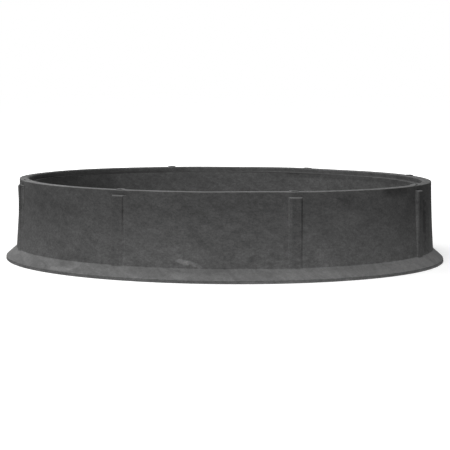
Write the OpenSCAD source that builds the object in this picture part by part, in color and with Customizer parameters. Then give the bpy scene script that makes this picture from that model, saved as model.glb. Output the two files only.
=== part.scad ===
// Well ring, moulded in one piece from sand-filled polymer.
// Millimetres, +Z up. The base flange stands on z = 0 and the ring's axis is the Z axis.

/* [Ring] */
// Diameter over the tongue at the top, the size the ring is sold by
outer_diameter = 1100; // [1095:1:1106]
// Clear diameter of the shaft at the base, its narrowest place
inner_diameter = 1000; // [980:5:1010]
// Height one ring adds to a stack, from the base to the ledge
working_height = 200; // [150:5:300]
// Growth of the shaft's radius from the base up to the ledge, the draft of the mould's core
shaft_draft = 12; // [4:0.5:14]

/* [Tongue and ledge] */
// Height of the tongue above the ledge
tongue_height = 12.5; // [8:0.5:20]
// Radial thickness of the tongue
tongue_width = 25; // [22:1:28]
// Rounding of the tongue's outer edge
rim_round = 2; // [1:0.5:4]
// Rounding of the tongue's inner edge
lip_round = 3.5; // [1:0.5:5]
// Rounding of the ledge's inner edge and of the corner where the ledge meets the tongue
ledge_round = 2; // [0.5:0.5:3]

/* [Outer wall] */
// Diameter where the wall meets the slope of the flange
foot_diameter = 1116; // [1110:1:1124]
// Share of the wall's flare that is straight, the rest being curved
flare_straight = 0.5; // [0:0.1:1]
// Fillet between the wall and the flange
foot_fillet = 2.5; // [1:0.5:10]

/* [Base flange] */
// Diameter over the flange
flange_diameter = 1171; // [1150:1:1200]
// Height of the flange's upright edge
flange_edge = 8; // [5:0.5:15]
// Height at which the flange's slope meets the wall
flange_height = 32; // [24:1:45]
// Rounding of the flange's upper outer edge
flange_round = 3; // [1:0.5:5]

/* [Groove in the underside] */
// Play of the groove on each side of a tongue
groove_play = 2; // [0.5:0.5:4]
// Depth of the groove left above a tongue and its lugs
groove_spare = 0.8; // [0:0.1:4]

/* [Ribs] */
// Number of ribs round the wall
rib_count = 8; // [4:1:12]
// Width of a rib
rib_width = 33; // [20:1:50]
// Diameter over the ribs at their upper end
rib_diameter = 1117; // [1114:1:1130]
// Growth of a rib's radius from its upper end down to the flange, its draft in the mould
rib_draft = 2; // [0:0.5:4]
// Slope cut off the upper edge of a rib
rib_bevel = 3.5; // [1:0.5:8]
// Rounding of a rib's upright edges
rib_round = 5; // [1:0.5:6]

/* [Lugs on the tongue] */
// Width of a lug at its foot
lug_width = 21; // [15:1:35]
// Radial depth of a lug
lug_depth = 14; // [8:1:17]
// Set-back of a lug's outer face from the tongue's
lug_back = 4.5; // [0.5:0.5:7]
// Height of a lug above the tongue
lug_height = 2.7; // [1:0.1:5]
// Run of the slope at each end of a lug
lug_slope = 2; // [1:0.5:6]

/* [Hidden] */
$fn = 180;
tongue_r = outer_diameter / 2;
tongue_in = tongue_r - tongue_width;
shaft_r = inner_diameter / 2;
ledge_r = shaft_r + shaft_draft;
foot_r = foot_diameter / 2;
flange_r = flange_diameter / 2;
rib_r = rib_diameter / 2;
top_z = working_height + tongue_height;
groove_depth = tongue_height + lug_height + groove_spare;
groove_in = tongue_in - groove_play;
groove_out = tongue_r + groove_play;
// how far a rib's root runs into the wall and its lower end into the flange
rib_embed = 10;
rib_sink = 12;
rib_root = tongue_r - rib_embed;
rib_bottom = flange_height - rib_sink;
rib_tilt = atan(rib_draft / (working_height - flange_height));
rib_reach = rib_r + 2 * rib_draft;
wall_steps = 8;

function unit(v) = v / norm(v);
function turn(from, to) = (to - from + 540) % 360 - 180;

// points of the arc of radius r that rounds the corner p between a and b
function rounded(a, p, b, r, steps = 4) =
    let (u = unit(a - p), v = unit(b - p))
    let (half = acos(u * v) / 2)
    let (c = p + r / sin(half) * unit(u + v))
    let (s = p + r / tan(half) * u - c, e = p + r / tan(half) * v - c)
    let (a0 = atan2(s[1], s[0]))
    let (sweep = turn(a0, atan2(e[1], e[0])))
    [for (i = [0 : steps]) c + r * [cos(a0 + sweep * i / steps), sin(a0 + sweep * i / steps)]];

// outer wall, t from 0 at the ledge's height to 1 at the flange
function wall(t) = [
    tongue_r + (foot_r - tongue_r) * (flare_straight * t + (1 - flare_straight) * t * t),
    working_height - (working_height - flange_height) * t
];

edge_top = [flange_r, flange_edge];
foot = wall(1);

// half section of the ring, radius and height
section = concat(
    [[groove_out, 0], [flange_r, 0]],
    rounded([flange_r, 0], edge_top, foot, flange_round),
    rounded(edge_top, foot, wall(1 - 1 / wall_steps), foot_fillet),
    [for (i = [wall_steps - 1 : -1 : 0]) wall(i / wall_steps)],
    rounded([tongue_r, working_height], [tongue_r, top_z], [tongue_in, top_z], rim_round),
    rounded([tongue_r, top_z], [tongue_in, top_z], [tongue_in, working_height], lip_round),
    rounded([tongue_in, top_z], [tongue_in, working_height], [ledge_r, working_height], ledge_round),
    rounded([tongue_in, working_height], [ledge_r, working_height], [shaft_r, 0], ledge_round),
    [[shaft_r, 0], [groove_in, 0], [groove_in, groove_depth], [groove_out, groove_depth]]
);

// side view of the space a rib stands in, with its upper edge cut off, radius and height
rib_side = [
    [rib_root, rib_bottom],
    [rib_reach, rib_bottom],
    [rib_reach, working_height - rib_bevel - rib_reach + rib_r],
    [rib_r - rib_bevel, working_height],
    [rib_root, working_height]
];

// front view of a lug, width and height
lug_front = [
    [-lug_width / 2, -rim_round],
    [lug_width / 2, -rim_round],
    [lug_width / 2, 0],
    [lug_width / 2 - lug_slope, lug_height],
    [-lug_width / 2 + lug_slope, lug_height],
    [-lug_width / 2, 0]
];

module rib_plan() {
    translate([rib_root, -rib_width / 2 + rib_round])
        square([rib_r - rib_root, rib_width - 2 * rib_round]);
    translate([rib_root, -rib_width / 2])
        square([rib_r - rib_root - rib_round, rib_width]);
    for (side = [-1, 1])
        translate([rib_r - rib_round, side * (rib_width / 2 - rib_round)])
            circle(r = rib_round);
}

module rib() {
    intersection() {
        translate([rib_r, 0, working_height])
            rotate([0, -rib_tilt, 0])
                translate([-rib_r, 0, -working_height])
                    linear_extrude(working_height + rib_bevel)
                        rib_plan();
        translate([0, rib_width, 0])
            rotate([90, 0, 0])
                linear_extrude(2 * rib_width)
                    polygon(rib_side);
    }
}

module lug() {
    translate([tongue_r - lug_back - lug_depth, 0, top_z])
        rotate([90, 0, 90])
            linear_extrude(lug_depth)
                polygon(lug_front);
}

module well_ring() {
    color([0.27, 0.27, 0.27])
        union() {
            rotate_extrude()
                polygon(section);
            for (i = [0 : rib_count - 1])
                rotate([0, 0, i * 360 / rib_count]) {
                    rib();
                    lug();
                }
        }
}

well_ring();
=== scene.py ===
"""Looks of a moulded well ring: one piece of dark grey sand-filled polymer on a pale studio floor."""

import math

import bpy
import numpy as np
from mathutils import Matrix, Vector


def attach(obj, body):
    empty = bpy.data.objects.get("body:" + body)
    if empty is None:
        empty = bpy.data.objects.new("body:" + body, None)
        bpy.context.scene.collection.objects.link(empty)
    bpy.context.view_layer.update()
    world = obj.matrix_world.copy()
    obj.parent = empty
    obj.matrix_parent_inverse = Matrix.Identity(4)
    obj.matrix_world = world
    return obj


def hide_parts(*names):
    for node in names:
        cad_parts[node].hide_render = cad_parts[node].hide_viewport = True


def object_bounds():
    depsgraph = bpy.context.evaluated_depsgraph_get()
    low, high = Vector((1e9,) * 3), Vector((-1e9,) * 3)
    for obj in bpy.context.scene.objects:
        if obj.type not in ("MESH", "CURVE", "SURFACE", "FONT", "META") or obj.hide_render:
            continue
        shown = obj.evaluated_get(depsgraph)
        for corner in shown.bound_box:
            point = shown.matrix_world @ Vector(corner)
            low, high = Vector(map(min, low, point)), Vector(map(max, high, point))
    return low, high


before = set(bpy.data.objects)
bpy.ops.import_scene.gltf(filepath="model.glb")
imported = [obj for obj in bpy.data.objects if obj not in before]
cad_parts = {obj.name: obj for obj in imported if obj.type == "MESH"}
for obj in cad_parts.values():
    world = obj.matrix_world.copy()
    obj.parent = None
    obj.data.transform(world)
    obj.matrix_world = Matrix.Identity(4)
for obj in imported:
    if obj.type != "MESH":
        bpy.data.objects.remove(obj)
cad_low, cad_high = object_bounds()

# Sizes of the ring in millimetres: the flange's and the whole height from the CAD box, the others as in
# the CAD source.
FLANGE_R = round(cad_high[0] * 1000, 2)
WHOLE_Z = round(cad_high[2] * 1000, 2)
TONGUE_R = 550.0
TONGUE_WIDTH = 25.0
TONGUE_HEIGHT = 12.5
SHAFT_R = 500.0
SHAFT_DRAFT = 12.0
RIM_ROUND = 2.0
LIP_ROUND = 3.5
LEDGE_ROUND = 2.0
FOOT_R = 558.0
FOOT_Z = 32.0
FOOT_FILLET = 2.5
FLANGE_EDGE = 8.0
FLANGE_ROUND = 3.0
GROOVE_PLAY = 2.0
GROOVE_SPARE = 0.8
RIBS = 8
RIB_R = 558.5
RIB_DRAFT = 2.0
RIB_HALF = 16.5
RIB_BEVEL = 3.5
RIB_ROUND = 5.0
LUG_HEIGHT = 2.7
LUG_BACK = 4.5
LUG_DEPTH = 14.0
LUG_HALF = 10.5
LUG_SLOPE = 2.0
# Radii and heights that follow from these.
TOP_Z = WHOLE_Z - LUG_HEIGHT
LEDGE_Z = TOP_Z - TONGUE_HEIGHT
TONGUE_IN = TONGUE_R - TONGUE_WIDTH
LUG_OUT = TONGUE_R - LUG_BACK
LUG_IN = LUG_OUT - LUG_DEPTH
GROOVE_IN = TONGUE_IN - GROOVE_PLAY
GROOVE_OUT = TONGUE_R + GROOVE_PLAY
GROOVE_DEPTH = TONGUE_HEIGHT + LUG_HEIGHT + GROOVE_SPARE

# Fine relief in millimetres: root fillet of the ribs, lean of their sides, bevel of the edges underneath.
RIB_ROOT = 3.5
RIB_SIDE = 0.4
UNDER_BEVEL = 1.0
# Steps of the mesh round the ring between two ribs, and the angle in degrees from which an edge is sharp.
FREE_STEPS = 96
SHARP_ANGLE = 42.0

# Faults of this moulding in millimetres. Ribs and lugs are counted anticlockwise from the one on +X.
# Heights of the lugs, one of them broken off, and how much higher one end of each is, as a share.
LUG_HEIGHTS = np.array((2.6, 2.5, 2.6, 0.2, 2.4, 2.3, 2.5, 2.5))
LUG_LEANS = np.array((0.05, -0.06, 0.04, 0.0, 0.06, 0.16, -0.04, 0.05))
# How far each lug stands off the middle of its rib, anticlockwise.
LUG_SHIFTS = np.array((0.0, 5.0, 0.0, 0.0, 0.0, -3.0, 0.0, 0.0))
# How far a burr on the upper end of each rib stands out and up.
RIB_BURRS = np.array((0.0, 0.0, 0.0, 0.0, 1.6, 0.0, 0.0, 0.0))
# Places where the rim stands a little high: angle and half width in degrees, height.
RIM_RISES = ((8.0, 16.0, 1.4), (160.0, 20.0, 1.6))
# Unevenness of the wall and of the rim.
WALL_WAVE = 0.2
RIM_WAVE = 0.25
# Chips along the flange's upper edge, the deepest of them, and the raggedness between them.
CHIPS = 90
CHIP_DEPTH = 2.2
EDGE_WAVE = 0.25

# Camera fitted to the outlines in the photograph, in degrees, metres and pixels of its frame.
VIEW_AZIMUTH = -17.487
CAMERA_DISTANCE = 4.2421
CAMERA_HEIGHT = 0.47574
CAMERA_PITCH = 5.263
CAMERA_YAW = -0.005
CAMERA_ROLL = -0.418
CAMERA_FOCUS = 1577.74
FRAME_WIDTH = 450
# Width of the sensor in millimetres.
SENSOR_WIDTH = 36.0

# Lamps: azimuth from the photograph's side to its right and elevation in degrees, power in watts.
LAMPS = (
    ("key_light", -10, 53, 188),
    ("left_light", -60, 35, 68),
    ("back_left_light", -120, 24, 102),
    ("right_light", 52, 12, 61),
    ("back_light", 185, 25, 60),
)
# How far the lamps stand from the point that they look at, its height, and their width, in metres.
LAMP_DISTANCE = 5.0
LAMP_AIM = 0.1
LAMP_SIZE = 2.0
# Floor in metres: its width, how far it lies below the ring, and its grey.
FLOOR_SIZE = 80
FLOOR_GAP = 0.0005
FLOOR_GREY = 0.6
# How white the camera sees the floor: two distances from the ring's middle, and the white at each.
FLOOR_WHITE = (0.7, 1.6, 0.55, 1.0)

# Finish, in millimetres and degrees. Angles round the ring are 0 on the photograph's side and grow to its
# right, where the rib on -Y stands at RIB_ANGLE. WALL_R turns them into places along the wall.
BASE_GREY = 0.077
RIB_ANGLE = -VIEW_AZIMUTH
WALL_R = 557.0
# Wear of the ribs left and right of the picture's middle, with painted highlights on their lit sides and
# painted shade on their edges: place along the wall from a rib's middle, level.
LEFT_WEAR_AND_LIGHT = (
    (-26, 1.0), (-18, 1.03), (-15, 1.0), (-11, 0.915), (5, 0.915), (9, 0.96), (14, 0.96),
    (15.2, 1.0), (16.2, 1.3), (18.2, 1.35), (20.5, 1.08), (26, 1.0),
)
RIGHT_WEAR_AND_LIGHT = (
    (-40, 1.0), (-28, 1.06), (-19.5, 1.07), (-18, 1.35), (-16.4, 1.5), (-15.6, 1.08), (-10.5, 1.05),
    (-8.5, 0.91), (-1, 0.91), (2, 0.97), (11, 0.96),
    (12.8, 0.85), (13.8, 0.55), (14.6, 0.5), (15.2, 1.15), (18.4, 1.25), (20, 1.1), (26, 1.0),
)
# Painted shade: dark lines down the right-hand sides of the same ribs, where they turn away from the light.
LEFT_SHADE_LINE = ((9, 1.0), (12, 0.91), (13.5, 0.76), (15.6, 0.54), (16.4, 1.0))
RIGHT_SHADE_LINE = ((13.6, 1.0), (14.6, 0.2), (16.6, 0.15), (17.2, 1.0))
# How the wear with its painted light and the painted shade lines fade: two heights, and their strength at
# each.
LEFT_WEAR_AND_LIGHT_FADE = (100, 145, 0.7, 1.0)
RIGHT_WEAR_AND_LIGHT_FADE = (60, 180, 0.45, 1.15)
LEFT_SHADE_LINE_FADE = (80, 150, 0.1, 1.0)
RIGHT_SHADE_LINE_FADE = (90, 175, 0.0, 1.1)
# Scuffs, smears and stains, and a few painted shadows and highlights: place along the wall, height, half
# length and height, lean in radians, strength.
MARKS = (
    (-103, 47.5, 17, 7.0, -0.3, 0.7),
    (-95, 45.0, 9, 5.0, -0.2, 0.15),
    (-118, 52.0, 22, 8.0, -0.2, 0.15),
    (-74, 41.5, 22, 6.0, -0.3, 0.55),
    (-420, 13.5, 50, 5.5, 0.0, 0.5),
    (-394, 17.5, 24, 6.5, 0.0, 0.4),
    (-390, 25.0, 22, 9.0, 0.0, 0.15),
    (145, 17.0, 30, 8.0, 0.0, 0.22),
    (-102, 16.5, 25, 8.0, 0.0, 0.35),
    (310, 140.0, 60, 30.0, 0.15, 0.13),
    (310, 188.0, 35, 12.0, 0.0, -0.1),
    # Painted highlight on the lit left side of the rib at about 62.5 degrees.
    (592, 150.0, 6, 80.0, 0.0, 0.2),
    # Painted shadow of that rib on the wall to its right.
    (653, 128.0, 20, 60.0, 0.0, -0.19),
    (680, 98.0, 40, 80.0, 0.0, -0.13),
    (-300, 170.0, 35, 50.0, 0.0, 0.1),
    (65, 50.0, 85, 22.0, 0.0, -0.08),
    (-410, 95.0, 40, 40.0, 0.0, 0.13),
    (-260, 75.0, 100, 50.0, 0.0, 0.09),
    # Painted shadow at the shaded end of the lug at about 107.5 degrees.
    (1036, 214.0, 5, 2.5, 0.0, -1.2),
    (1053, 214.0, 6, 3.0, 0.0, 0.45),
    (607, 215.0, 12, 2.0, 0.0, 0.5),
)
# How ragged the marks' edges are, as a share of their half sizes.
MARK_RAGGED = 0.45

rng = np.random.default_rng(11)


def corner(a, p, b, radius, steps):
    """Points of the arc that rounds the corner p between a and b."""
    a, p, b = (np.array(q, float) for q in (a, p, b))
    u = (a - p) / np.linalg.norm(a - p)
    v = (b - p) / np.linalg.norm(b - p)
    half = math.acos(float(u @ v)) / 2
    middle = (u + v) / np.linalg.norm(u + v)
    centre = p + middle * radius / math.sin(half)
    start = p + u * radius / math.tan(half) - centre
    end = p + v * radius / math.tan(half) - centre
    a0 = math.atan2(start[1], start[0])
    sweep = (math.atan2(end[1], end[0]) - a0 + 3 * math.pi) % (2 * math.pi) - math.pi
    angles = a0 + sweep * np.linspace(0, 1, steps + 1)
    return [tuple(centre + radius * np.array((math.cos(t), math.sin(t)))) for t in angles]


def between(p, q, steps):
    """Points inside the straight stretch from p to q, the ends left out."""
    p, q = np.array(p, float), np.array(q, float)
    return [tuple(p + (q - p) * i / steps) for i in range(1, steps)]


def wall(t):
    """Outer wall, t from 0 at the ledge's height to 1 at the flange."""
    radius = TONGUE_R + (FOOT_R - TONGUE_R) * (0.5 * t + 0.5 * t * t)
    return (radius, LEDGE_Z - (LEDGE_Z - FOOT_Z) * t)


def groove():
    """Points of the groove underneath with its bevelled edges, from the inner side to the outer one."""
    sides = []
    for radius, bevel in ((GROOVE_IN, UNDER_BEVEL), (GROOVE_OUT, -UNDER_BEVEL)):
        low = [(radius - bevel, 0), (radius, UNDER_BEVEL)]
        high = [(radius, GROOVE_DEPTH - UNDER_BEVEL), (radius + bevel, GROOVE_DEPTH)]
        sides.append(low + high)
    return sides[0] + sides[1][::-1]


def section():
    """Closed half section of the ring (radius, height), from the flange's lower edge up and round."""
    flange_low = (FLANGE_R, UNDER_BEVEL)
    flange_top = (FLANGE_R, FLANGE_EDGE)
    foot = wall(1)
    rim_out = (TONGUE_R, TOP_Z)
    rim_in = (TONGUE_IN, TOP_Z)
    rebate = (TONGUE_IN, LEDGE_Z)
    ledge_in = (SHAFT_R + SHAFT_DRAFT, LEDGE_Z)
    shaft_low = (SHAFT_R + SHAFT_DRAFT * UNDER_BEVEL / LEDGE_Z, UNDER_BEVEL)

    edge = corner((FLANGE_R, 0), flange_top, foot, FLANGE_ROUND, 5)
    slope = corner(flange_top, foot, wall(0.9), FOOT_FILLET, 4)
    rim = corner((TONGUE_R, LEDGE_Z), rim_out, rim_in, RIM_ROUND, 5)
    lip = corner(rim_out, rim_in, rebate, LIP_ROUND, 5)
    root = corner(rim_in, rebate, ledge_in, LEDGE_ROUND, 3)
    step = corner(rebate, ledge_in, (SHAFT_R, 0), LEDGE_ROUND, 4)
    # Places up the wall, close together at the ribs' upper ends, and across the rim at the lugs.
    up_wall = np.concatenate((np.linspace(0.95, 0.07, 13), (0.036, 0.03, 0.022, 0.014, 0.007, 0.001)))
    across = (LUG_OUT + 0.4, LUG_OUT - 0.4, (LUG_OUT + LUG_IN) / 2, LUG_IN + 0.4, LUG_IN - 0.4)

    points = [(FLANGE_R - UNDER_BEVEL, 0), flange_low]
    points += between(flange_low, edge[0], 3) + edge
    points += between(edge[-1], slope[0], 7) + slope
    points += [wall(t) for t in up_wall]
    points += [(TONGUE_R, LEDGE_Z + 0.4), (TONGUE_R, LEDGE_Z + 5)] + rim
    points += [(r, TOP_Z) for r in across] + lip
    points += [(TONGUE_IN, LEDGE_Z + 5)] + root
    points += between(root[-1], step[0], 4) + step
    points += between(step[-1], shaft_low, 9) + [shaft_low, (shaft_low[0] + UNDER_BEVEL, 0)]
    points += groove()
    points += between(points[-1], points[0], 3)
    return np.array(points)


def rib_lines():
    """Places of the mesh's upright lines beside the middle of a rib, in millimetres along the wall."""
    bend = np.radians(np.linspace(0, 90, 7))
    edge = RIB_HALF - RIB_ROUND * (1 - np.sin(bend))
    root = RIB_HALF + RIB_SIDE + RIB_ROOT * (1 - np.cos(bend))
    lug = LUG_HALF - LUG_SLOPE
    return np.concatenate(((lug / 2, lug), edge, root))


def rib_relief(side, depth):
    """How far a rib stands out beside its middle line, where its face stands out by depth."""
    small = np.minimum(1, 0.9 * depth / (RIB_ROUND + RIB_ROOT))
    over = np.clip((side - RIB_HALF) / RIB_ROUND + 1, 0, 1)
    edge = depth - small * RIB_ROUND * (1 - np.sqrt(1 - over**2))
    left = np.clip((RIB_HALF + RIB_SIDE + RIB_ROOT - side) / RIB_ROOT, 0, 1)
    root = small * RIB_ROOT * (1 - np.sqrt(1 - left**2))
    return np.where(side < RIB_HALF + RIB_SIDE / 2, edge, root)


def directions():
    """Angles of the mesh's upright lines, in radians, close together at the ribs."""
    pitch = 2 * math.pi / RIBS
    near = rib_lines() / TONGUE_R
    one = np.concatenate((-near[::-1], (0.0,), near))
    free = np.linspace(near[-1], pitch - near[-1], FREE_STEPS + 1)[1:-1]
    return np.concatenate([k * pitch + np.concatenate((one, free)) for k in range(RIBS)])


def waves(angle, height, terms, lengths, tall):
    """Smooth irregular waves over the ring, about -1 to 1, from seeded sums of sines."""
    total = np.zeros(np.broadcast(angle, height).shape)
    for _ in range(terms):
        turns = round(2 * math.pi * TONGUE_R / rng.uniform(*lengths))
        rise = rng.uniform(-1, 1) * 2 * math.pi / tall
        total += np.sin(turns * angle + rise * height + rng.uniform(0, 2 * math.pi))
    return total / math.sqrt(terms)


def add_ribs(radius, height, side, number):
    """Ribs: an upright face, a rounded upper edge, rounded corners and a fillet at the wall."""
    outside = (radius > TONGUE_R - 0.5) & (height < LEDGE_Z + 0.2) & (height > FOOT_Z - 6)
    burr = RIB_BURRS[number]
    # The source's bevel is an arc here, which starts 1 mm lower and is smaller where there is a burr.
    arc = RIB_BEVEL + 1
    bevel = np.clip((height - (LEDGE_Z - arc)) / arc, 0, 1)
    lean = RIB_DRAFT * np.clip((LEDGE_Z - height) / (LEDGE_Z - FOOT_Z), 0, 1)
    lean = lean + burr * np.clip((height - (LEDGE_Z - 40)) / 30, 0, 1)
    cut = arc * np.where(burr > 0, 0.3, 1.0)
    face = RIB_R + lean - cut * (1 - np.sqrt(1 - bevel**2))
    reach = np.where(outside, np.maximum(face - radius, 0), 0)
    raised = np.clip((height - (LEDGE_Z - 10)) / 8, 0, 1) * np.clip((RIB_HALF - side) / 3, 0, 1)
    return radius + rib_relief(side, reach), height + np.where(reach > 0.5, burr * raised, 0)


def add_lugs(radius, height, along, number):
    """Lugs on the rim, each a little different."""
    off = along - LUG_SHIFTS[number]
    ends = np.clip((LUG_HALF - np.abs(off)) / LUG_SLOPE, 0, 1)
    tall = LUG_HEIGHTS[number] * ends * (1 + LUG_LEANS[number] * off / LUG_HALF)
    on_lug = (radius > LUG_IN) & (radius < LUG_OUT) & (height > TOP_Z - 0.1)
    return height + np.where(on_lug, tall, 0)


def add_unevenness(radius, height, angle):
    """Slightly uneven faces of a moulding that shrank as it cooled."""
    on_wall = (height > FOOT_Z + 8) & (height < LEDGE_Z - 4)
    uneven = WALL_WAVE * waves(angle, height, 9, (180, 620), 260)
    high = RIM_WAVE * waves(angle, np.zeros(1), 7, (260, 900), 300)
    for middle, half, lift in RIM_RISES:
        gap = (np.degrees(angle) - (middle + VIEW_AZIMUTH - 90) + 180) % 360 - 180
        high = high + lift * np.clip(1 - (gap / half) ** 2, 0, 1) ** 2
    rise = np.clip((height - (LEDGE_Z - 50)) / 60, 0, 1)
    return radius + np.where(on_wall, uneven, 0), np.minimum(height + rise * high, WHOLE_Z)


def add_chips(radius, height, angle):
    """Chipped and ragged upper edge of the flange."""
    away = np.hypot(radius - (FLANGE_R - 0.5), height - (FLANGE_EDGE - 1.5))
    turn = angle[:, 0]
    chips = np.zeros(len(turn))
    for _ in range(CHIPS):
        middle = rng.uniform(0, 2 * math.pi)
        width = rng.uniform(4, 20) / FLANGE_R
        deep = rng.uniform(0.3, 1.0) ** 2 * CHIP_DEPTH
        gap = np.abs((turn - middle + math.pi) % (2 * math.pi) - math.pi)
        chips = np.maximum(chips, deep * np.clip(1 - (gap / width) ** 2, 0, 1))
    ragged = chips + EDGE_WAVE * np.abs(waves(turn, np.zeros(1), 24, (14, 60), 300))
    cut = np.clip(1 - away / 5.5, 0, 1) * ragged[:, None]
    return radius - cut, height - 0.6 * cut


def ring_points():
    """Points of the whole ring in millimetres, one row for each upright line of the mesh."""
    profile = section()
    angle = directions()[:, None]
    radius, height = (np.repeat(profile[None, :, k], len(angle), axis=0) for k in (0, 1))
    pitch = 2 * math.pi / RIBS
    number = np.round(angle / pitch).astype(int) % RIBS
    along = ((angle + pitch / 2) % pitch - pitch / 2) * TONGUE_R
    radius, height = add_ribs(radius, height, np.abs(along), number)
    height = add_lugs(radius, height, along, number)
    radius, height = add_unevenness(radius, height, angle)
    radius, height = add_chips(radius, height, angle)
    return np.stack((radius * np.cos(angle), radius * np.sin(angle), np.maximum(height, 0)), axis=-1)


def grid_mesh(name, points):
    """A mesh closed round both ways from rows of points in millimetres."""
    rows, columns = points.shape[:2]
    index = np.arange(rows * columns).reshape(rows, columns)
    right = np.roll(index, -1, axis=0)
    faces = np.stack((index, right, np.roll(right, -1, axis=1), np.roll(index, -1, axis=1)), axis=-1)
    mesh = bpy.data.meshes.new(name)
    mesh.from_pydata((points.reshape(-1, 3) / 1000).tolist(), [], faces.reshape(-1, 4).tolist())
    mesh.polygons.foreach_set("use_smooth", [True] * len(mesh.polygons))
    mesh.set_sharp_from_angle(angle=math.radians(SHARP_ANGLE))
    mesh.update()
    return mesh


class Nodes:
    """Short calls for building a node tree."""

    def __init__(self, tree):
        self.tree = tree
        tree.nodes.clear()

    def add(self, kind, values=(), **settings):
        node = self.tree.nodes.new(kind)
        for key, value in settings.items():
            setattr(node, key, value)
        for socket, value in dict(values).items():
            self.put(node.inputs[socket], value)
        return node

    def put(self, socket, value):
        if isinstance(value, bpy.types.NodeSocket):
            self.tree.links.new(value, socket)
        else:
            socket.default_value = value

    def math(self, operation, *values):
        return self.add("ShaderNodeMath", enumerate(values), operation=operation).outputs[0]

    def minus(self, a, b):
        return self.math("SUBTRACT", a, b)

    def times(self, first, *others):
        """Product of all values."""
        for value in others:
            first = self.math("MULTIPLY", first, value)
        return first

    def weigh(self, base, *terms):
        """base plus each term's value times its weight."""
        for value, weight in terms:
            base = self.math("MULTIPLY_ADD", value, weight, base)
        return base

    def mix(self, share, a, b):
        """a where share is 0, b where it is 1."""
        return self.math("MULTIPLY_ADD", share, self.minus(b, a), a)

    def dim(self, value, share):
        """value lowered by a share of itself."""
        return self.times(value, self.minus(1.0, share))

    def noise(self, vector, scale, detail, roughness, distortion=0.0):
        values = {"Vector": vector, "Scale": scale, "Detail": detail, "Roughness": roughness}
        node = self.add("ShaderNodeTexNoise", {**values, "Distortion": distortion})
        return node.outputs["Fac"]

    def stretch(self, vector, sizes, shift=(0.0, 0.0, 0.0), turn=(0.0, 0.0, 0.0)):
        """Coordinates moved, turned and then divided by sizes."""
        values = {"Vector": vector, "Location": shift, "Rotation": turn, "Scale": sizes}
        return self.add("ShaderNodeMapping", values, vector_type="TEXTURE").outputs[0]

    def remap(self, value, low, high, to_low, to_high, smooth=False):
        kind = "SMOOTHSTEP" if smooth else "LINEAR"
        values = {"Value": value, "From Min": low, "From Max": high, "To Min": to_low, "To Max": to_high}
        return self.add("ShaderNodeMapRange", values, interpolation_type=kind).outputs[0]

    def spread(self, noise, to_low, to_high):
        """A level from to_low to to_high over the usual range of a noise."""
        return self.remap(noise, 0.3, 0.7, to_low, to_high)

    def near(self, value, middle, inner, outer):
        """1 within inner of the middle, falling to 0 at outer."""
        gap = self.math("ABSOLUTE", self.minus(value, middle))
        return self.remap(gap, inner, outer, 1.0, 0.0, smooth=True)

    def within(self, value, low, high, soft):
        """1 from low to high, falling to 0 over soft on each side."""
        rise = self.remap(value, low - soft, low, 0.0, 1.0)
        return self.times(rise, self.remap(value, high, high + soft, 1.0, 0.0))

    def ramp(self, value, stops):
        """Level picked between stops (place, level from 0 to 2)."""
        low, high = stops[0][0], stops[-1][0]
        node = self.add("ShaderNodeValToRGB", {"Fac": self.remap(value, low, high, 0.0, 1.0)})
        elements = node.color_ramp.elements
        for element, (_, level) in zip(elements, (stops[0], stops[-1])):
            element.color = (level / 2, level / 2, level / 2, 1)
        for place, level in stops[1:-1]:
            elements.new((place - low) / (high - low)).color = (level / 2, level / 2, level / 2, 1)
        return self.times(node.outputs["Color"], 2.0)


class Places:
    """Where a shaded point is on the ring, in radians and millimetres, and which way it faces."""

    def __init__(self, n):
        self.n = n
        self.object = n.add("ShaderNodeTexCoord").outputs["Object"]
        # Turned so that the angle round the ring is 0 on the photograph's side and grows to its right.
        self.turned = n.stretch(self.object, (1, 1, 1), turn=(0, 0, math.radians(VIEW_AZIMUTH - 90)))
        in_mm = n.stretch(self.turned, (0.001, 0.001, 0.001))
        parts = n.add("ShaderNodeSeparateXYZ", {"Vector": in_mm}).outputs
        self.angle = n.math("ARCTAN2", parts["Y"], parts["X"])
        self.along = n.times(self.angle, WALL_R)
        squares = [n.times(parts[k], parts[k]) for k in ("X", "Y")]
        self.radius = n.math("SQRT", n.math("ADD", *squares))
        self.height = parts["Z"]
        normal = n.add("ShaderNodeNewGeometry").outputs["Normal"]
        self.upward = n.add("ShaderNodeSeparateXYZ", {"Vector": normal}).outputs["Z"]
        self.outer = n.remap(self.radius, TONGUE_IN + 3, TONGUE_IN + 7, 0.0, 1.0)

    def around(self, middle, inner, outer):
        """1 within inner degrees of the angle middle, falling to 0 at outer degrees from it."""
        return self.n.near(self.angle, *(math.radians(v) for v in (middle, inner, outer)))


def rib_tone(n, at):
    """Wear, painted highlights and painted shade on the ribs and close beside them, by height."""
    half_pitch = math.pi / RIBS
    beside = n.math("WRAP", n.minus(at.angle, math.radians(RIB_ANGLE)), half_pitch, -half_pitch)
    beside = n.times(beside, WALL_R)

    def faded(stops, fade):
        return n.mix(n.remap(at.height, *fade), 1.0, n.ramp(beside, stops))

    # Painted light and shade at the ribs: lit sides paler, edges that face away from the light darker.
    left = n.times(faded(LEFT_WEAR_AND_LIGHT, LEFT_WEAR_AND_LIGHT_FADE), faded(LEFT_SHADE_LINE, LEFT_SHADE_LINE_FADE))
    right = n.times(faded(RIGHT_WEAR_AND_LIGHT, RIGHT_WEAR_AND_LIGHT_FADE), faded(RIGHT_SHADE_LINE, RIGHT_SHADE_LINE_FADE))
    from_left = n.math("ABSOLUTE", n.math("ADD", at.angle, math.pi / 2))
    on_left = n.math("LESS_THAN", from_left, math.pi / 2)
    on_rib = n.within(at.height, FOOT_Z + 4, LEDGE_Z - 1, 3)
    return n.mix(on_rib, 1.0, n.mix(on_left, right, left))


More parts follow.
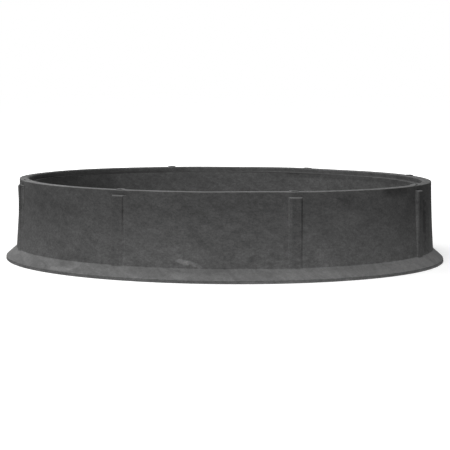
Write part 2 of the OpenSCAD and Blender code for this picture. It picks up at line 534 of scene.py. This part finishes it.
def outside_tone(n, at):
    """Level of the outer wall: painted bounce light towards the foot, painted shade at the upper right,
    grime and wear.
    """
    # Painted bounce light: paler towards the foot.
    tone = n.remap(at.height, FOOT_Z + 13, LEDGE_Z - 30, 1.17, 0.77)
    # Painted shade: darker at the upper right, away from the light.
    upper_right_shade = n.times(at.around(72, 5, 29), n.remap(at.height, FOOT_Z - 2, LEDGE_Z - 10, 0.088, 0.44))
    grime = n.times(at.around(50, 2.5, 8.5), n.remap(at.height, LEDGE_Z - 20, LEDGE_Z + 5, 0.0, 0.42))
    tone = n.dim(n.dim(tone, upper_right_shade), grime)
    return n.times(tone, rib_tone(n, at))


def inside_tone(n, at):
    """Level of the inner faces: painted shade on the left and in a line under the ledge, paler on the
    tongue.
    """
    right = at.around(100, 12, 34)
    # Painted shade on the left, on faces that turn away from the light.
    left = at.around(-95, 8, 75)
    # Painted shade in a line under the ledge.
    under = n.times(at.around(118, 35, 56), n.within(at.height, LEDGE_Z - 10.5, LEDGE_Z - 2.5, 6))
    back = n.times(at.around(151, 4, 13), n.remap(at.height, LEDGE_Z - 18, LEDGE_Z - 8, 0.17, 0.0))
    tone = n.weigh(0.95, (right, -0.12), (left, -0.49), (under, -0.16), (back, 1.0))
    lip = n.weigh(1.05, (at.around(-148, 10, 32), -0.05), (at.around(-98, 15, 40), 0.3))
    on_tongue = n.remap(at.height, LEDGE_Z + 0.8, LEDGE_Z + 2, 0.0, 1.0)
    return n.times(tone, n.mix(on_tongue, 1.0, lip))


def flange_dust_and_light(n, at, sideways):
    """Level of the flange's upper face, dust and painted light: more towards the sides, a paler line by its
    outer edge.
    """
    # Dust and painted light: the flange's upper face paler than the wall, more so towards the sides.
    dust = n.math("MINIMUM", n.weigh(1.38, (sideways, 0.9)), 2.0)
    outer_line = n.remap(at.radius, FLANGE_R - 19.5, FLANGE_R - 7.5, 0.0, 0.2)
    outer_line = n.times(at.around(15, 28, 50), outer_line)
    return n.weigh(dust, (outer_line, 1.0), (at.around(-70, 14, 30), -0.22))


def rim_dust_and_light(n, at, sideways):
    """Level of the rim, dust and painted light, darker on its inner edge at the far left, and of the ribs'
    upper ends.
    """
    right = at.around(75, 15, 60)
    back_left = at.around(-125, 15, 55)
    near_left = at.around(-58, 8, 18)
    # Dust and painted light: the rim paler than the wall, more on the near left, less on the right and back
    # left.
    dust = n.weigh(1.6, (right, -0.2), (back_left, -0.5), (near_left, 0.42))
    darkening = n.times(at.around(-104, 16, 30), n.remap(at.height, LEDGE_Z + 5, LEDGE_Z + 7, 0.0, 1.0))
    darkening = n.times(darkening, n.remap(at.radius, TONGUE_IN + 4, TONGUE_IN + 8, 0.5, 0.0))
    rib_end = n.math("MINIMUM", n.weigh(0.85, (sideways, 0.4)), 1.15)
    on_rib_end = n.remap(at.radius, TONGUE_R - 0.5, TONGUE_R + 1, 0.0, 1.0)
    return n.times(n.dim(dust, darkening), n.mix(on_rib_end, 1.0, rib_end))


def dust_and_light_tone(n, at, uneven):
    """Level of the faces that look up: dust and painted light from above."""
    sideways = n.minus(1.0, n.math("COSINE", at.angle))
    high = n.remap(at.height, 100, 150, 0.0, 1.0)
    dust = n.mix(high, flange_dust_and_light(n, at, sideways), rim_dust_and_light(n, at, sideways))
    return n.times(dust, n.spread(uneven, 0.92, 1.08))


def ledge_tone(n, at, gain):
    """The ledge darker, more so on the left, and a painted highlight along its inner edge on one side."""
    ledge = n.within(at.height, LEDGE_Z - 1.5, LEDGE_Z + 1.2, 1.0)
    ledge = n.times(ledge, n.remap(at.radius, TONGUE_IN + 1.5, TONGUE_IN + 3, 1.0, 0.0))
    darkening = n.weigh(0.56, (at.around(-92, 10, 28), -0.24), (at.around(-110, 30, 70), -0.2))
    gain = n.times(gain, n.mix(ledge, 1.0, darkening))
    inner_edge = SHAFT_R + SHAFT_DRAFT
    # Painted highlight: a pale line along the ledge's inner edge on the right, where it catches the light.
    edge_highlight = n.remap(at.radius, inner_edge + 2.5, inner_edge + 4, 1.0, 0.0)
    edge_highlight = n.times(ledge, at.around(106, 12, 45), edge_highlight)
    return n.weigh(gain, (edge_highlight, 0.35))


def edge_tone(n, at, gain, ragged):
    """Ragged band on the flange's upright edge, paler with dust and painted light; a worn pale line on its
    upper corner.
    """
    level = n.weigh(at.height, (n.minus(ragged, 0.5), 14.0))
    on_edge = n.remap(at.radius, FLANGE_R - 5.5, FLANGE_R - 3, 0.0, 1.0)
    band = n.times(n.remap(level, FLANGE_EDGE - 3, FLANGE_EDGE - 1, 1.0, 0.0), on_edge)
    # Dust and painted light: the upright edge paler, as if lit, more so on the right.
    band_dust_and_light = n.weigh(1.2, (at.around(68, 10, 18), 0.5))
    gain = n.times(gain, n.mix(band, 1.0, band_dust_and_light))
    corner_line = n.times(n.within(at.height, FLANGE_EDGE - 0.8, FLANGE_EDGE + 0.5, 0.8), on_edge)
    return n.weigh(gain, (corner_line, 0.25))


def mark_mask(n, at, ragged, place, up, half_long, half_tall, lean):
    """Mask, 0 to 1, of a soft ragged oval mark on the outside of the ring."""
    x = n.minus(at.along, place)
    y = n.minus(at.height, up)
    c, s = math.cos(lean), math.sin(lean)
    a = n.weigh(n.times(x, c / half_long), (y, s / half_long))
    b = n.weigh(n.times(x, -s / half_tall), (y, c / half_tall))
    far = n.math("SQRT", n.weigh(n.times(a, a), (b, b)))
    far = n.math("ADD", far, ragged)
    return n.times(n.remap(far, 0.45, 1.1, 1.0, 0.0, smooth=True), at.outer)


def pale_grains(n, at):
    """Mask of a few pale grains of sand."""
    cells = n.add("ShaderNodeTexVoronoi", {"Vector": at.object, "Scale": 40.0}).outputs
    pick = n.add("ShaderNodeSeparateColor", {"Color": cells["Color"]}).outputs[0]
    few = n.math("GREATER_THAN", pick, 0.93)
    return n.times(n.remap(cells["Distance"], 0.04, 0.075, 1.0, 0.0), few)


def sand_polymer():
    """Dark grey sand-filled polymer: flow streaks, mottling, grime, sand specks, pale dust and painted light
    and shade.
    """
    material = bpy.data.materials.new("sand_polymer")
    material.use_nodes = True
    n = Nodes(material.node_tree)
    at = Places(n)

    # Clouds, slanting flow streaks, mottling and sand, calmer on the faces that look up.
    slant = (math.radians(-32), 0, 0)
    cloud = n.noise(n.stretch(at.object, (1, 1, 0.6)), 7.0, 3.0, 0.6)
    flow = n.noise(n.stretch(at.turned, (1, 1, 0.28), (0.3, 0.1, 0.7), slant), 11.0, 4.0, 0.6, 1.2)
    mottle = n.noise(n.stretch(at.object, (1, 1, 0.48), (2.2, 5.3, 2.1)), 34.0, 3.0, 0.6, 0.4)
    grain = n.noise(n.stretch(at.object, (1, 1, 0.6)), 120.0, 2.0, 0.6)
    sand = n.noise(at.object, 320.0, 2.0, 0.7)
    tone = 1.0
    for value, size in ((cloud, 0.08), (flow, 0.12), (mottle, 0.14), (grain, 0.15), (sand, 0.14)):
        tone = n.times(tone, n.spread(value, 1 - size, 1 + size))
    level = n.remap(at.upward, 0.25, 0.65, 0.0, 1.0, smooth=True)
    tone = n.mix(n.times(level, 0.4), tone, 1.0)

    # Painted shade and light, dust, dirt and wear by place.
    upright = n.mix(at.outer, inside_tone(n, at), outside_tone(n, at))
    gain = n.mix(level, upright, dust_and_light_tone(n, at, flow))
    gain = ledge_tone(n, at, gain)
    gain = edge_tone(n, at, gain, mottle)
    ragged = n.spread(mottle, -MARK_RAGGED, MARK_RAGGED)
    for *shape, strength in MARKS:
        gain = n.weigh(gain, (mark_mask(n, at, ragged, *shape), strength))
    gain = n.weigh(gain, (pale_grains(n, at), 0.7))

    shade = n.times(tone, n.math("MAXIMUM", gain, 0.2), BASE_GREY)
    colour = n.add("ShaderNodeCombineColor", {"Red": shade, "Green": shade, "Blue": shade}).outputs[0]
    relief = n.weigh(n.times(sand, 0.4), (grain, 0.6))
    bump = n.add("ShaderNodeBump", {"Height": relief, "Strength": 0.3, "Distance": 0.001}).outputs[0]
    values = {"Base Color": colour, "Roughness": n.spread(mottle, 0.74, 0.86), "Normal": bump}
    shader = n.add("ShaderNodeBsdfPrincipled", {**values, "Specular IOR Level": 0.02})
    n.add("ShaderNodeOutputMaterial", {"Surface": shader.outputs[0]})
    return material


def shown_white(n):
    """1 for rays that show the background, 0 for rays that would light the object with its white."""
    rays = n.add("ShaderNodeLightPath").outputs
    seen = n.math("MAXIMUM", rays["Is Camera Ray"], rays["Is Glossy Ray"])
    return n.math("MAXIMUM", seen, rays["Is Transmission Ray"])


def floor_material():
    """Pale floor that the camera sees as white, with a light shadow under the object."""
    material = bpy.data.materials.new("studio_floor")
    material.use_nodes = True
    n = Nodes(material.node_tree)
    matt = n.add("ShaderNodeBsdfDiffuse", {"Color": (FLOOR_GREY, FLOOR_GREY, FLOOR_GREY, 1)})
    place = n.add("ShaderNodeTexCoord").outputs["Object"]
    away = n.add("ShaderNodeVectorMath", {0: place}, operation="LENGTH").outputs["Value"]
    strength = n.times(shown_white(n), n.remap(away, *FLOOR_WHITE, smooth=True))
    white = n.add("ShaderNodeEmission", {"Color": (1, 1, 1, 1), "Strength": strength})
    both = n.add("ShaderNodeAddShader", {0: matt.outputs[0], 1: white.outputs[0]})
    n.add("ShaderNodeOutputMaterial", {"Surface": both.outputs[0]})
    return material


def studio():
    """Floor and a white surround."""
    bpy.ops.mesh.primitive_plane_add(size=FLOOR_SIZE, location=(0, 0, -FLOOR_GAP))
    floor = bpy.context.object
    floor.name = "studio_floor"
    floor.data.materials.append(floor_material())

    world = bpy.data.worlds.new("studio")
    bpy.context.scene.world = world
    world.use_nodes = True
    n = Nodes(world.node_tree)
    light = n.add("ShaderNodeBackground", {"Color": (1, 1, 1, 1), "Strength": shown_white(n)})
    n.add("ShaderNodeOutputWorld", {"Surface": light.outputs[0]})


def place_object(name, data, axes, where):
    """New object of the scene, with its axes X, Y and Z and its place given in the ring's frame."""
    thing = bpy.data.objects.new(name, data)
    bpy.context.scene.collection.objects.link(thing)
    rows = [(*row, p) for row, p in zip(np.stack(axes, 1), where)]
    thing.matrix_world = Matrix(rows + [(0, 0, 0, 1)])
    return thing


def softbox(name, azimuth, elevation, power):
    """Square area lamp that looks at the ring."""
    lamp = bpy.data.lights.new(name, "AREA")
    lamp.shape = "SQUARE"
    lamp.size = LAMP_SIZE
    lamp.energy = power
    turn = math.radians(azimuth + VIEW_AZIMUTH)
    lift = math.radians(elevation)
    back = np.array((math.sin(turn) * math.cos(lift), -math.cos(turn) * math.cos(lift), math.sin(lift)))
    right = np.cross((0, 0, 1), back)
    right = right / np.linalg.norm(right)
    up = np.cross(back, right)
    place_object(name, lamp, (right, up, back), back * LAMP_DISTANCE + np.array((0, 0, LAMP_AIM)))


def camera():
    """The photograph's camera."""
    turn, pitch, roll = (math.radians(v) for v in (VIEW_AZIMUTH, CAMERA_PITCH, CAMERA_ROLL))
    yaw = math.radians(CAMERA_YAW) - turn
    where = (CAMERA_DISTANCE * math.sin(turn), -CAMERA_DISTANCE * math.cos(turn), CAMERA_HEIGHT)
    level = np.array((math.sin(yaw), math.cos(yaw), 0))
    forward = level * math.cos(pitch) - np.array((0, 0, math.sin(pitch)))
    right = np.array((math.cos(yaw), -math.sin(yaw), 0))
    down = np.cross(forward, right)
    across = math.cos(roll) * right + math.sin(roll) * down
    below = -math.sin(roll) * right + math.cos(roll) * down
    data = bpy.data.cameras.new("photo_view")
    data.sensor_fit = "HORIZONTAL"
    data.sensor_width = SENSOR_WIDTH
    data.lens = CAMERA_FOCUS * SENSOR_WIDTH / FRAME_WIDTH
    data.clip_end = 200
    bpy.context.scene.camera = place_object("photo_view", data, (across, -below, -forward), where)


body = bpy.data.objects.new("ring_body", grid_mesh("ring_body", ring_points()))
bpy.context.scene.collection.objects.link(body)
body.data.materials.append(sand_polymer())
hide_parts("well_ring")
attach(body, "root")

studio()
for lamp_values in LAMPS:
    softbox(*lamp_values)
camera()
bpy.context.scene.view_settings.view_transform = "Standard"
